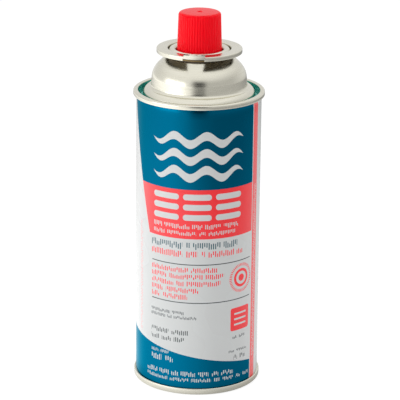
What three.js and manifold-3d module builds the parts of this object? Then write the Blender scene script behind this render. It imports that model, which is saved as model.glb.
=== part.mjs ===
// Fuel canister: a tinplate butane can with a notched collar, a press valve and a push-on cap.
// Millimetres, +Z up, the foot ring stands on Z = 0, the notch looks towards -Y.

import * as THREE from 'three';
import { mergeVertices } from 'three/addons/utils/BufferGeometryUtils.js';
import Module from 'manifold-3d';

const wasm = await Module();
wasm.setup();

// Fits

const fitGap = 0.3;
const sheet = 0.4;

// Can: body, foot seam and top seam

const bodyRadius = 32.65;
const footSeamRadius = 33.7;
const footSeamHeight = 3.4;
const topSeamRadius = 34.3;
const topSeamHeight = 2.7;
const seamTopZ = 158.3;
const seamWall = 2.5;
const seamRound = 0.5;
const footRound = 1.1;
const neckDepth = 0.3;
const neckLength = 2.2;
const panelRise = 9.5;
const panelEdgeRise = 3.6;
const countersinkDepth = 4.7;

// Dome: ledge, wall, round shoulder, and the cone up to the shelf that carries the collar

const ledgeRadius = 29.2;
const ledgeDrop = 1.5;
const ledgeHeight = 2.8;
const ledgeFullness = 1.4;
const domeFillet = 1.8;
const domeFootRadius = 25;
const domeWallHeight = 3.6;
const domeWallDraft = 0.3;
const domeRise = 17.65;
const shoulderHeight = 9.2;
const shoulderFullness = 1.7;
const shoulderSteps = 7;
const coneFootStep = 4;
const domeCurlHeight = 3.25;
const shelfZ = seamTopZ + domeRise;
const ledgeFootZ = seamTopZ - ledgeDrop;
const ledgeTopZ = ledgeFootZ + ledgeHeight;
const shoulderFootZ = ledgeTopZ + domeFillet + domeWallHeight;
const domeWallRadius = domeFootRadius - domeWallDraft;
const domeCurlTopZ = shelfZ + domeCurlHeight;
const domeCurlChamfer = 0.5;

// Valve cup: curl, wall, floor and pedestal

const cupInnerRadius = 12.3;
const curlWidth = 3.7;
const cupDepth = 6.45;
const gasketThickness = 0.55;
const curlSkirt = 1;
const floorRound = 0.6;
const pedestalRadius = 5.6;
const pedestalHeight = 5.6;
const curlRadius = curlWidth / 2;
const curlMidRadius = cupInnerRadius + curlRadius;
const curlOuterRadius = cupInnerRadius + curlWidth;
const cupTopZ = domeCurlTopZ + gasketThickness + fitGap + sheet;
const curlCentreZ = cupTopZ - curlRadius;
const cupFloorZ = cupTopZ - cupDepth;
const pedestalTopZ = cupFloorZ + pedestalHeight;
const openingRadius = cupInnerRadius + sheet + fitGap;
const domeCurlOuterRadius = curlOuterRadius - sheet - fitGap;

// Collar: hub, flange, lip and locating notch

const collarRadius = 22.25;
const collarSheet = 0.5;
const collarLip = 2.35;
const collarEdgeRound = 0.5;
const grooveWidth = 0.45;
const notchWidth = 11.2;
const notchTurn = -8;
const hubInnerRadius = curlOuterRadius + grooveWidth;
const hubOuterRadius = hubInnerRadius + collarSheet;
const shelfRadius = hubOuterRadius + fitGap;

// Stem, its gasket and the valve housing

const stemRadius = 2;
const stemBoreRadius = 1.1;
const stemRise = 9.4;
const stemShoulderRadius = 3;
const stemShoulderHeight = 2.4;
const stemPegRadius = 1.5;
const stemPegLength = 2.7;
const stemTravel = 2;
const stemGasketThickness = 1.2;
const housingWall = 1.4;
const housingSpare = 6.1;
const housingFloor = 1.5;
const housingHead = 6;
const housingWaist = 0.45;
const spigotRadius = 1.9;
const spigotBoreRadius = 0.9;
const spigotLength = 5;
const springWire = 0.6;
const springRadius = 2.35;
const springTurns = 6;
const springEndGap = 0.1;
const pedestalBoreRadius = pedestalRadius - sheet;
const housingRadius = pedestalBoreRadius - fitGap;
const housingBoreRadius = housingRadius - housingWall;
const housingTopZ = pedestalTopZ - sheet - stemGasketThickness;
const stemTopZ = pedestalTopZ + stemRise;
const stemShoulderZ = housingTopZ - fitGap;
const stemShoulderFootZ = stemShoulderZ - stemShoulderHeight;
const stemPegFootZ = stemShoulderFootZ - stemPegLength;
const housingSeatZ = stemPegFootZ - stemTravel - housingSpare;
const spigotTopZ = housingSeatZ - housingFloor;
const spigotFootZ = spigotTopZ - spigotLength;
const stemHoleRadius = stemRadius + fitGap;

// Dip tube and the well that holds it

const tubeWall = 0.6;
const tubeDrop = 24;
const tubeBend = 4.5;
const tubeBendShare = 0.3;
const wellRadius = 8;
const wellStepZ = cupFloorZ - sheet - 2 * fitGap;
const tubeInnerRadius = spigotRadius + fitGap;
const tubeOuterRadius = tubeInnerRadius + tubeWall;
const tubeTopZ = spigotTopZ - fitGap;
const tubeFootZ = tubeTopZ - tubeDrop;
const wellFloorZ = tubeFootZ - 2 * tubeOuterRadius;

// Cap: fluted skirt, roof and inner gripping tube

const capHeadroom = 8.75;
const capTopRadius = 11.03;
const capWaistRadius = 11.6;
const capWall = 1.1;
const capRoof = 1.5;
const capEdgeRound = 1.6;
const capFluteCount = 48;
const capFluteDepth = 0.3;
const capFootChamfer = 0.5;
const capDimpleRadius = 1.3;
const capDimpleDepth = 0.4;
const gripWall = 0.8;
const gripLift = 1.2;
const capTopZ = stemTopZ + capHeadroom + capRoof;
const capFluteTopZ = capTopZ - capEdgeRound;
const capTaper = (capWaistRadius - capTopRadius) / (capFluteTopZ - cupTopZ);
const capFootRadius = capWaistRadius + capTaper * (cupTopZ - cupFloorZ);
const gripInnerRadius = pedestalRadius + fitGap;
const gripOuterRadius = gripInnerRadius + gripWall;

// Facets

const canSegments = 48;
const ringSegments = 48;
const smallSegments = 24;
const springSteps = 12;
const springSides = 6;
const tubeSteps = 14;
const tubeSides = 12;
const overcut = 2;

// Profile helpers: points are (radius, height)

function point(radius, height) {
  return new THREE.Vector2(radius, height);
}

function arc(centreRadius, centreZ, radius, fromDegrees, toDegrees, steps) {
  const points = [];
  for (let i = 0; i <= steps; i += 1) {
    const degrees = fromDegrees + ((toDegrees - fromDegrees) * i) / steps;
    const angle = THREE.MathUtils.degToRad(degrees);
    points.push(point(centreRadius + radius * Math.cos(angle), centreZ + radius * Math.sin(angle)));
  }
  return points;
}

// A quarter of a superellipse, from its foot round to its top; a fullness of 2 is a plain ellipse.
function bulge(centreRadius, footZ, width, height, fullness, steps) {
  const points = [];
  for (let i = 0; i <= steps; i += 1) {
    const angle = (Math.PI * i) / (2 * steps);
    const out = Math.max(Math.cos(angle), 0) ** (2 / fullness);
    const up = Math.sin(angle) ** (2 / fullness);
    points.push(point(centreRadius + width * out, footZ + height * up));
  }
  return points;
}

// A hollow end panel: highest on the axis, falling to its edge.
function panelCurve(edgeRadius, edgeZ, centreZ, steps) {
  const points = [];
  for (let i = 0; i <= steps; i += 1) {
    const share = i / steps;
    points.push(point(edgeRadius * share, centreZ - (centreZ - edgeZ) * share * share));
  }
  return points;
}

function lathe(profile, segments) {
  const geometry = new THREE.LatheGeometry(profile, segments);
  geometry.rotateX(Math.PI / 2);
  return geometry;
}

function disc(radius, fromZ, toZ, segments) {
  return lathe([point(0, fromZ), point(radius, fromZ), point(radius, toZ), point(0, toZ)], segments);
}

function ring(innerRadius, outerRadius, fromZ, toZ, segments) {
  const corners = [
    point(innerRadius, fromZ),
    point(outerRadius, fromZ),
    point(outerRadius, toZ),
    point(innerRadius, toZ),
    point(innerRadius, fromZ),
  ];
  return lathe(corners, segments);
}

// Solid helpers for joins and cuts

function solid(geometry) {
  const bare = geometry.clone();
  bare.deleteAttribute('normal');
  bare.deleteAttribute('uv');
  const merged = mergeVertices(bare, 1e-4);
  const mesh = new wasm.Mesh({
    numProp: 3,
    vertProperties: new Float32Array(merged.attributes.position.array),
    triVerts: new Uint32Array(merged.index.array),
  });
  return new wasm.Manifold(mesh);
}

function toGeometry(manifold) {
  const mesh = manifold.getMesh();
  const geometry = new THREE.BufferGeometry();
  geometry.setAttribute('position', new THREE.BufferAttribute(new Float32Array(mesh.vertProperties), 3));
  geometry.setIndex(new THREE.BufferAttribute(new Uint32Array(mesh.triVerts), 1));
  geometry.computeVertexNormals();
  return geometry;
}

function notchDirection() {
  const angle = THREE.MathUtils.degToRad(notchTurn);
  return new THREE.Vector2(Math.sin(angle), -Math.cos(angle));
}

// Can

function footOutline() {
  const rimInner = footSeamRadius - seamWall;
  const panel = panelCurve(rimInner - seamRound, panelEdgeRise, panelRise, 5);
  return [
    ...panel,
    point(rimInner, panelEdgeRise - seamRound),
    point(rimInner, seamRound),
    point(rimInner + seamRound, 0),
    ...arc(footSeamRadius - footRound, footRound, footRound, 270, 360, 3),
    point(footSeamRadius, footSeamHeight - seamRound),
    point(footSeamRadius - seamRound, footSeamHeight),
    point(bodyRadius, footSeamHeight + seamRound),
  ];
}

function topSeamOutline() {
  const seamFootZ = seamTopZ - topSeamHeight;
  const rimInner = topSeamRadius - seamWall;
  return [
    point(bodyRadius, seamFootZ - neckLength),
    point(bodyRadius - neckDepth, seamFootZ - seamRound),
    point(bodyRadius, seamFootZ),
    point(topSeamRadius - seamRound, seamFootZ),
    point(topSeamRadius, seamFootZ + seamRound),
    point(topSeamRadius, seamTopZ - 2 * seamRound),
    point(topSeamRadius - seamRound, seamTopZ - seamRound / 2),
    point(topSeamRadius - 2 * seamRound, seamTopZ),
    point(rimInner + seamRound, seamTopZ),
    point(rimInner, seamTopZ - seamRound),
    point(rimInner - seamRound, seamTopZ - countersinkDepth + seamRound),
    point(rimInner - 2 * seamRound, seamTopZ - countersinkDepth),
    point(ledgeRadius + seamRound, seamTopZ - countersinkDepth),
  ];
}

function domeOutline() {
  const ledgeCentre = domeFootRadius + domeFillet;
  const shoulderWidth = domeWallRadius - shelfRadius;
  const shoulder = bulge(
    shelfRadius,
    shoulderFootZ,
    shoulderWidth,
    shoulderHeight,
    shoulderFullness,
    shoulderSteps,
  );
  return [
    ...bulge(ledgeCentre, ledgeFootZ, ledgeRadius - ledgeCentre, ledgeHeight, ledgeFullness, 5),
    ...arc(ledgeCentre, ledgeTopZ + domeFillet, domeFillet, 270, 180, 4).slice(1),
    ...shoulder.slice(0, coneFootStep + 1),
    point(shelfRadius, shelfZ),
  ];
}

function wellOutline() {
  return [
    point(domeCurlOuterRadius + 2 * seamRound, shelfZ),
    point(domeCurlOuterRadius, shelfZ + seamRound),
    point(domeCurlOuterRadius, domeCurlTopZ - domeCurlChamfer),
    point(domeCurlOuterRadius - domeCurlChamfer, domeCurlTopZ),
    point(openingRadius + domeCurlChamfer, domeCurlTopZ),
    point(openingRadius, domeCurlTopZ - domeCurlChamfer),
    point(openingRadius, wellStepZ),
    point(wellRadius, wellStepZ),
    point(wellRadius, wellFloorZ),
    point(0, wellFloorZ),
  ];
}

function canGeometry() {
  return lathe([...footOutline(), ...topSeamOutline(), ...domeOutline(), ...wellOutline()], canSegments);
}

// Valve cup and its gasket

function cupGeometry() {
  const innerCurlRadius = curlRadius - sheet;
  const skirtFootZ = curlCentreZ - curlSkirt;
  const floorUnderZ = cupFloorZ - sheet;
  const outerFloorRound = floorRound + sheet;
  const profile = [
    point(curlOuterRadius - sheet, skirtFootZ),
    point(curlOuterRadius, skirtFootZ),
    ...arc(curlMidRadius, curlCentreZ, curlRadius, 0, 180, 8),
    point(cupInnerRadius, cupFloorZ + floorRound),
    point(cupInnerRadius - floorRound, cupFloorZ),
    point(pedestalRadius + floorRound, cupFloorZ),
    point(pedestalRadius, cupFloorZ + floorRound),
    point(pedestalRadius, pedestalTopZ - floorRound),
    point(pedestalRadius - floorRound, pedestalTopZ),
    point(stemHoleRadius, pedestalTopZ),
    point(stemHoleRadius, pedestalTopZ - sheet),
    point(pedestalBoreRadius, pedestalTopZ - sheet),
    point(pedestalBoreRadius, floorUnderZ + outerFloorRound),
    point(pedestalBoreRadius + outerFloorRound, floorUnderZ),
    point(cupInnerRadius + sheet - outerFloorRound, floorUnderZ),
    point(cupInnerRadius + sheet, floorUnderZ + outerFloorRound),
    ...arc(curlMidRadius, curlCentreZ, innerCurlRadius, 180, 0, 6),
    point(curlOuterRadius - sheet, skirtFootZ),
  ];
  return lathe(profile, ringSegments);
}

function cupGasketGeometry() {
  const inner = openingRadius + domeCurlChamfer;
  const outer = domeCurlOuterRadius - domeCurlChamfer;
  return ring(inner, outer, domeCurlTopZ, domeCurlTopZ + gasketThickness, smallSegments * 2);
}

// Collar with its locating notch

function collarGeometry() {
  const flangeUnderZ = cupTopZ - collarSheet;
  const lipFootZ = cupTopZ - collarLip;
  const profile = [
    point(hubInnerRadius, shelfZ),
    point(hubOuterRadius, shelfZ),
    point(hubOuterRadius, flangeUnderZ),
    point(collarRadius - collarSheet, flangeUnderZ),
    point(collarRadius - collarSheet, lipFootZ),
    point(collarRadius, lipFootZ),
    ...arc(collarRadius - collarEdgeRound, cupTopZ - collarEdgeRound, collarEdgeRound, 0, 90, 3),
    ...arc(hubInnerRadius + collarSheet, cupTopZ - collarSheet, collarSheet, 90, 180, 2),
    point(hubInnerRadius, shelfZ),
  ];
  const reach = collarRadius + overcut;
  const block = new THREE.BoxGeometry(notchWidth, reach, collarLip + 2 * overcut);
  block.translate(0, -reach / 2, lipFootZ + collarLip / 2);
  block.rotateZ(THREE.MathUtils.degToRad(notchTurn));
  const hubCore = disc(hubOuterRadius, shelfZ, cupTopZ + 2 * overcut, ringSegments);
  const cutter = solid(block).subtract(solid(hubCore));
  return toGeometry(solid(lathe(profile, ringSegments)).subtract(cutter));
}

// Valve: stem, stem gasket, housing and spring

function stemGeometry() {
  const boreFootZ = stemShoulderZ - stemShoulderHeight / 2;
  const profile = [
    point(0, stemPegFootZ),
    point(stemPegRadius, stemPegFootZ),
    point(stemPegRadius, stemShoulderFootZ),
    point(stemShoulderRadius, stemShoulderFootZ),
    point(stemShoulderRadius, stemShoulderZ),
    point(stemRadius, stemShoulderZ),
    point(stemRadius, stemTopZ - fitGap),
    point(stemRadius - fitGap, stemTopZ),
    point(stemBoreRadius, stemTopZ),
    point(stemBoreRadius, boreFootZ),
    point(0, boreFootZ),
  ];
  return lathe(profile, smallSegments);
}

function stemGasketGeometry() {
  return ring(stemHoleRadius, housingRadius, housingTopZ, housingTopZ + stemGasketThickness, smallSegments);
}

function housingGeometry() {
  const waistRadius = housingRadius - housingWaist;
  const profile = [
    point(spigotBoreRadius, spigotFootZ),
    point(spigotRadius, spigotFootZ),
    point(spigotRadius, spigotTopZ),
    point(waistRadius, spigotTopZ),
    point(waistRadius, housingTopZ - housingHead),
    point(housingRadius, housingTopZ - housingHead),
    point(housingRadius, housingTopZ),
    point(housingBoreRadius, housingTopZ),
    point(housingBoreRadius, housingSeatZ),
    point(spigotBoreRadius, housingSeatZ),
    point(spigotBoreRadius, spigotFootZ),
  ];
  return lathe(profile, smallSegments);
}

class Helix extends THREE.Curve {
  constructor(radius, fromZ, toZ, turns) {
    super();
    this.radius = radius;
    this.fromZ = fromZ;
    this.rise = toZ - fromZ;
    this.turns = turns;
  }

  getPoint(t, target = new THREE.Vector3()) {
    const angle = 2 * Math.PI * this.turns * t;
    const height = this.fromZ + this.rise * t;
    return target.set(this.radius * Math.cos(angle), this.radius * Math.sin(angle), height);
  }
}

function circleShape(radius, sides) {
  const shape = new THREE.Shape();
  for (let i = 0; i < sides; i += 1) {
    const angle = (2 * Math.PI * i) / sides;
    const x = radius * Math.cos(angle);
    const y = radius * Math.sin(angle);
    if (i === 0) {
      shape.moveTo(x, y);
    } else {
      shape.lineTo(x, y);
    }
  }
  shape.closePath();
  return shape;
}

function springGeometry() {
  const path = new Helix(
    springRadius,
    housingSeatZ + springWire / 2 + springEndGap,
    stemShoulderFootZ - springWire / 2 - springEndGap,
    springTurns,
  );
  return new THREE.ExtrudeGeometry(circleShape(springWire / 2, springSides), {
    steps: springTurns * springSteps,
    bevelEnabled: false,
    extrudePath: path,
  });
}

// Dip tube: straight off the spigot, then bent towards the notch

function dipTubeGeometry() {
  const towards = notchDirection();
  const along = (share, height) => new THREE.Vector3(
    towards.x * tubeBend * share,
    towards.y * tubeBend * share,
    height,
  );
  const bendTopZ = spigotFootZ - spigotBoreRadius;
  const path = new THREE.CatmullRomCurve3([
    along(0, tubeTopZ),
    along(0, (tubeTopZ + bendTopZ) / 2),
    along(0, bendTopZ),
    along(tubeBendShare, (bendTopZ + tubeFootZ) / 2),
    along(1, tubeFootZ),
  ]);
  const shape = circleShape(tubeOuterRadius, tubeSides);
  shape.holes.push(circleShape(tubeInnerRadius, tubeSides));
  return new THREE.ExtrudeGeometry(shape, { steps: tubeSteps, bevelEnabled: false, extrudePath: path });
}

// Cap

function fluted(profile) {
  const segments = 2 * capFluteCount;
  const geometry = new THREE.LatheGeometry(profile, segments);
  const positions = geometry.attributes.position;
  for (let i = 0; i < positions.count; i += 1) {
    const segment = Math.floor(i / profile.length) % segments;
    const height = positions.getY(i);
    if (segment % 2 === 1 && height < capTopZ - capEdgeRound / 2) {
      const radius = Math.hypot(positions.getX(i), positions.getZ(i));
      const share = Math.max(radius - capFluteDepth, 0) / Math.max(radius, capFluteDepth);
      positions.setX(i, positions.getX(i) * share);
      positions.setZ(i, positions.getZ(i) * share);
    }
  }
  geometry.rotateX(Math.PI / 2);
  return geometry;
}

function capGeometry() {
  const roofUnderZ = capTopZ - capRoof;
  const outer = fluted([
    point(0, cupFloorZ),
    point(capFootRadius - capFootChamfer, cupFloorZ),
    point(capFootRadius, cupFloorZ + capFootChamfer),
    ...arc(capTopRadius - capEdgeRound, capFluteTopZ, capEdgeRound, 0, 90, 4),
    point(0, capTopZ),
  ]);
  const skirtVoid = lathe([
    point(gripOuterRadius, cupFloorZ - overcut),
    point(capFootRadius - capWall, cupFloorZ - overcut),
    point(capFootRadius - capWall, cupFloorZ),
    point(capTopRadius - capWall, roofUnderZ),
    point(gripOuterRadius, roofUnderZ),
    point(gripOuterRadius, cupFloorZ - overcut),
  ], ringSegments);
  const gripBore = disc(gripInnerRadius, cupFloorZ - overcut, roofUnderZ, smallSegments);
  const gripFoot = ring(gripInnerRadius - gripWall, gripOuterRadius + gripWall, cupFloorZ - overcut,
    cupFloorZ + gripLift, smallSegments);
  const dimple = disc(capDimpleRadius, capTopZ - capDimpleDepth, capTopZ + overcut, smallSegments);
  const shell = solid(outer)
    .subtract(solid(skirtVoid))
    .subtract(solid(gripBore))
    .subtract(solid(gripFoot))
    .subtract(solid(dimple));
  return toGeometry(shell);
}

// Materials

const printedTinplate = new THREE.MeshStandardMaterial({ color: 0x0b7a98, roughness: 0.3, metalness: 0.2 });
const bareTinplate = new THREE.MeshStandardMaterial({ color: 0xd8d6cc, roughness: 0.3, metalness: 1 });
const redPlastic = new THREE.MeshStandardMaterial({ color: 0xf0001a, roughness: 0.35, metalness: 0 });
const palePlastic = new THREE.MeshStandardMaterial({ color: 0xe9e6da, roughness: 0.5, metalness: 0 });
const blackRubber = new THREE.MeshStandardMaterial({ color: 0x1c1c1e, roughness: 0.8, metalness: 0 });
const springSteel = new THREE.MeshStandardMaterial({ color: 0xb9bcc0, roughness: 0.25, metalness: 1 });

function piece(name, geometry, material) {
  const mesh = new THREE.Mesh(geometry, material);
  mesh.name = name;
  return mesh;
}

// Assembly

const group = new THREE.Group();
group.name = 'fuel_canister';
group.add(piece('can', canGeometry(), printedTinplate));
group.add(piece('valve_cup', cupGeometry(), bareTinplate));
group.add(piece('cup_gasket', cupGasketGeometry(), blackRubber));
group.add(piece('collar', collarGeometry(), bareTinplate));
group.add(piece('stem_gasket', stemGasketGeometry(), blackRubber));
group.add(piece('valve_housing', housingGeometry(), palePlastic));
group.add(piece('valve_spring', springGeometry(), springSteel));
group.add(piece('dip_tube', dipTubeGeometry(), palePlastic));
group.add(piece('valve_stem', stemGeometry(), palePlastic));
group.add(piece('cap', capGeometry(), redPlastic));

export default group;
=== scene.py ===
import math

import bpy
from mathutils import Matrix, Vector


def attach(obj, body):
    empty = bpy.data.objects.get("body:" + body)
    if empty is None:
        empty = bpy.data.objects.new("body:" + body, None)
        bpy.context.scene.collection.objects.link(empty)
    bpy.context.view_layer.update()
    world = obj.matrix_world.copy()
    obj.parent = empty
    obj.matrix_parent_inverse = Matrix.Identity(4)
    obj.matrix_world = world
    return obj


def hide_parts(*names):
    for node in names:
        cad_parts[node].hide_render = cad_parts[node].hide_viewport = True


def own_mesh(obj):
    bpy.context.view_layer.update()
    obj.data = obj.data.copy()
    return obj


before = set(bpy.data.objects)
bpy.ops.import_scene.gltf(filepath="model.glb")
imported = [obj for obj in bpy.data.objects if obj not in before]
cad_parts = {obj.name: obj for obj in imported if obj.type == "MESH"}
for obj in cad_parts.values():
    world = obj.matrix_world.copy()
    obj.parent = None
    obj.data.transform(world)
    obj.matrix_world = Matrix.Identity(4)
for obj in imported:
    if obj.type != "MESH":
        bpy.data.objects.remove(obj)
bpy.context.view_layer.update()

mm = 0.001
print("frame loaded:", len(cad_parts), "nodes")


# Small tools that every piece uses

def startPiece(name):
    if bpy.context.object and bpy.context.object.mode != "OBJECT":
        bpy.ops.object.mode_set(mode="OBJECT")
    bpy.ops.object.select_all(action="DESELECT")
    print("making", name)


def finishPiece(obj, name, angle=32):
    # doubles go first, then the faces are turned outwards
    bpy.ops.object.select_all(action="DESELECT")
    obj.select_set(True)
    bpy.context.view_layer.objects.active = obj
    bpy.ops.object.mode_set(mode="EDIT")
    bpy.ops.mesh.select_all(action="SELECT")
    bpy.ops.mesh.remove_doubles(threshold=1e-6)
    bpy.ops.mesh.normals_make_consistent(inside=False)
    bpy.ops.object.mode_set(mode="OBJECT")
    bpy.ops.object.transform_apply(location=True, rotation=True, scale=True)
    bpy.ops.object.shade_smooth_by_angle(angle=math.radians(angle))
    obj.name = name
    obj.data.name = name


def growRings(name, profile, segments, startFilled=False, endFilled=False):
    # a circle is extruded to each next height and scaled to each next radius
    startPiece(name)
    radius, height = profile[0]
    bpy.ops.mesh.primitive_circle_add(
        vertices=segments,
        radius=radius * mm,
        location=(0, 0, height * mm),
        fill_type="TRIFAN" if startFilled else "NOTHING",
    )
    obj = bpy.context.object
    bpy.ops.object.mode_set(mode="EDIT")
    bpy.ops.mesh.select_all(action="SELECT")
    if startFilled:
        bpy.ops.mesh.region_to_loop()
    for nextRadius, nextHeight in profile[1:]:
        rise = (nextHeight - height) * mm
        share = nextRadius / radius
        bpy.ops.mesh.extrude_region_move(TRANSFORM_OT_translate={"value": (0, 0, rise)})
        bpy.ops.transform.resize(value=(share, share, 1), center_override=(0, 0, nextHeight * mm))
        radius, height = nextRadius, nextHeight
    if endFilled:
        bpy.ops.mesh.extrude_region_move(TRANSFORM_OT_translate={"value": (0, 0, 0)})
        bpy.ops.mesh.merge(type="CENTER")
    bpy.ops.object.mode_set(mode="OBJECT")
    return obj


def arcPoints(centreRadius, centreHeight, radius, fromDegrees, toDegrees, steps):
    points = []
    for i in range(steps + 1):
        angle = math.radians(fromDegrees + (toDegrees - fromDegrees) * i / steps)
        points.append((centreRadius + radius * math.cos(angle), centreHeight + radius * math.sin(angle)))
    return points


def bulgePoints(centreRadius, footHeight, width, height, fullness, steps):
    # a quarter of a superellipse, from its foot round to its top
    points = []
    for i in range(steps + 1):
        angle = math.pi * i / (2 * steps)
        out = max(math.cos(angle), 0) ** (2 / fullness)
        up = math.sin(angle) ** (2 / fullness)
        points.append((centreRadius + width * out, footHeight + height * up))
    return points


def applyModifier(obj, kind, **settings):
    bpy.context.view_layer.objects.active = obj
    modifier = obj.modifiers.new(kind.title(), kind)
    for key, value in settings.items():
        setattr(modifier, key, value)
    bpy.ops.object.modifier_apply(modifier=modifier.name)


# Can: printed body, both seams, lacquered groove, ledge, dome and the well under the valve

can = {
    "bodyRadius": 32.65,
    "footSeamRadius": 33.7,
    "footSeamHeight": 3.4,
    "footRound": 1.1,
    "topSeamRadius": 34.3,
    "topSeamHeight": 2.7,
    "seamTop": 158.3,
    "seamWall": 2.5,
    "seamRound": 0.5,
    "seamFootRound": 0.6,
    "seamTopRound": 1.1,
    "crevice": 0.4,
    "fadeHeights": (8.0, 80.0, 150.0),
    "neckDepth": 0.3,
    "neckLength": 2.2,
    "panelRise": 9.5,
    "panelEdge": 3.6,
    "grooveDepth": 4.7,
    "ledgeRadius": 29.2,
    "ledgeFoot": 156.8,
    "ledgeHeight": 2.8,
    "ledgeFullness": 1.4,
    "fillet": 1.8,
    "domeFoot": 25.0,
    "domeWall": 24.7,
    "wallHeight": 3.6,
    "shelfRadius": 17.25,
    "shelf": 175.95,
    "shoulderHeight": 9.2,
    "shoulderFullness": 1.7,
    "coneFoot": 21.4,
    "curlOuter": 15.3,
    "curlTop": 179.2,
    "opening": 13.0,
    "wellStep": 173.05,
    "wellRadius": 8.0,
    "wellFloor": 127.1,
    "segments": 160,
}


def canProfile():
    foot = can["footSeamRadius"]
    footInner = foot - can["seamWall"]
    top = can["topSeamRadius"]
    topInner = top - can["seamWall"]
    seamTop = can["seamTop"]
    seamFoot = seamTop - can["topSeamHeight"]
    body = can["bodyRadius"]
    small = can["seamRound"]
    foldRound = can["seamFootRound"]
    topRound = can["seamTopRound"]
    crevice = can["crevice"]
    footHeight = can["footSeamHeight"]
    neck = body - can["neckDepth"]
    groove = seamTop - can["grooveDepth"]
    profile = []
    for i in range(1, 9):
        share = i / 8
        rise = can["panelRise"] - (can["panelRise"] - can["panelEdge"]) * share * share
        profile.append(((footInner - small) * share, rise))
    ledgeCentre = can["domeFoot"] + can["fillet"]
    ledgeTop = can["ledgeFoot"] + can["ledgeHeight"]
    shoulderFoot = ledgeTop + can["fillet"] + can["wallHeight"]
    profile += arcPoints(footInner - small, can["panelEdge"] - small, small, 90, 0, 4)[1:]
    profile += arcPoints(footInner + foldRound, foldRound, foldRound, 180, 270, 5)
    profile += arcPoints(foot - can["footRound"], can["footRound"], can["footRound"], 270, 360, 8)
    profile += arcPoints(foot - small, footHeight - small, small, 0, 90, 5)
    # a fine crevice runs round above the foot seam
    profile += [(body + crevice, footHeight - crevice / 8), (body + crevice * 0.75, footHeight - crevice)]
    profile += [(body, footHeight - crevice * 0.875)]
    profile += [(body, height) for height in can["fadeHeights"]]
    profile += [(body, seamFoot - can["neckLength"])]
    profile += [((body + neck) / 2, seamFoot - can["neckLength"] / 2)]
    profile += [(neck, seamFoot - crevice), (neck, seamFoot - crevice / 8)]
    profile += arcPoints(top - foldRound, seamFoot + foldRound, foldRound, 270, 360, 6)
    profile += arcPoints(top - topRound, seamTop - topRound, topRound, 0, 90, 8)
    profile += arcPoints(topInner + small, seamTop - small, small, 90, 180, 5)
    profile += arcPoints(topInner - topRound, groove + foldRound, foldRound, 0, -90, 5)
    profile += arcPoints(can["ledgeRadius"] + foldRound, groove + foldRound, foldRound, 270, 180, 5)
    profile += bulgePoints(ledgeCentre, can["ledgeFoot"], can["ledgeRadius"] - ledgeCentre,
                           can["ledgeHeight"], can["ledgeFullness"], 12)
    profile += arcPoints(ledgeCentre, ledgeTop + can["fillet"], can["fillet"], 270, 180, 10)[1:]
    shoulder = bulgePoints(can["shelfRadius"], shoulderFoot, can["domeWall"] - can["shelfRadius"],
                           can["shoulderHeight"], can["shoulderFullness"], 30)
    profile += [place for place in shoulder if place[0] > can["coneFoot"]]
    profile += [(can["shelfRadius"] + 0.2, can["shelf"] - 0.15), (can["shelfRadius"] - 0.1, can["shelf"])]
    profile += [(can["curlOuter"] + small, can["shelf"])]
    profile += arcPoints(can["curlOuter"] - small, can["curlTop"] - small, small, 0, 90, 4)
    profile += arcPoints(can["opening"] + small, can["curlTop"] - small, small, 90, 180, 4)
    profile += [(can["opening"], can["wellStep"]), (can["wellRadius"], can["wellStep"])]
    profile += [(can["wellRadius"], can["wellFloor"])]
    return profile


def makeCan():
    obj = growRings("can_shell", canProfile(), can["segments"], startFilled=True, endFilled=True)
    finishPiece(obj, "can_shell")
    for material in (printedLacquer, bareTinplate, tealLacquer):
        obj.data.materials.append(material)
    seamFoot = can["seamTop"] - can["topSeamHeight"]
    bodyInside = can["bodyRadius"] - can["neckDepth"] - 0.1
    grooveFrom = can["ledgeRadius"] - 0.05
    grooveTo = can["topSeamRadius"] - can["seamWall"] + 0.05
    grooveFoot = seamFoot - can["grooveDepth"]
    for face in obj.data.polygons:
        x, y, z = face.center / mm
        radius = math.hypot(x, y)
        isBody = radius > bodyInside and can["footSeamHeight"] < z < seamFoot - 0.2
        isGroove = grooveFrom < radius < grooveTo and grooveFoot < z < can["seamTop"] - 0.9
        face.material_index = 0 if isBody else 2 if isGroove else 1
    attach(obj, "canister")
    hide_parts("can")
    return obj


# Collar: flange with a turned-down lip, on its hub, cut by the locating notch

collar = {
    "radius": 22.25,
    "sheet": 0.5,
    "top": 180.45,
    "lip": 2.35,
    "edgeRound": 0.5,
    "hubFillet": 0.3,
    "lipFillet": 0.2,
    "hubInner": 16.45,
    "foot": 175.95,
    "lowerRecessTop": 0.8,
    "bandTop": 1.45,
    "seamTop": 1.75,
    "seamDepth": 0.2,
    "notchWidth": 11.2,
    "notchTurn": -8,
    "notchStop": 0.16,
    "cutEdge": 0.06,
    "segments": 144,
}


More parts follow.
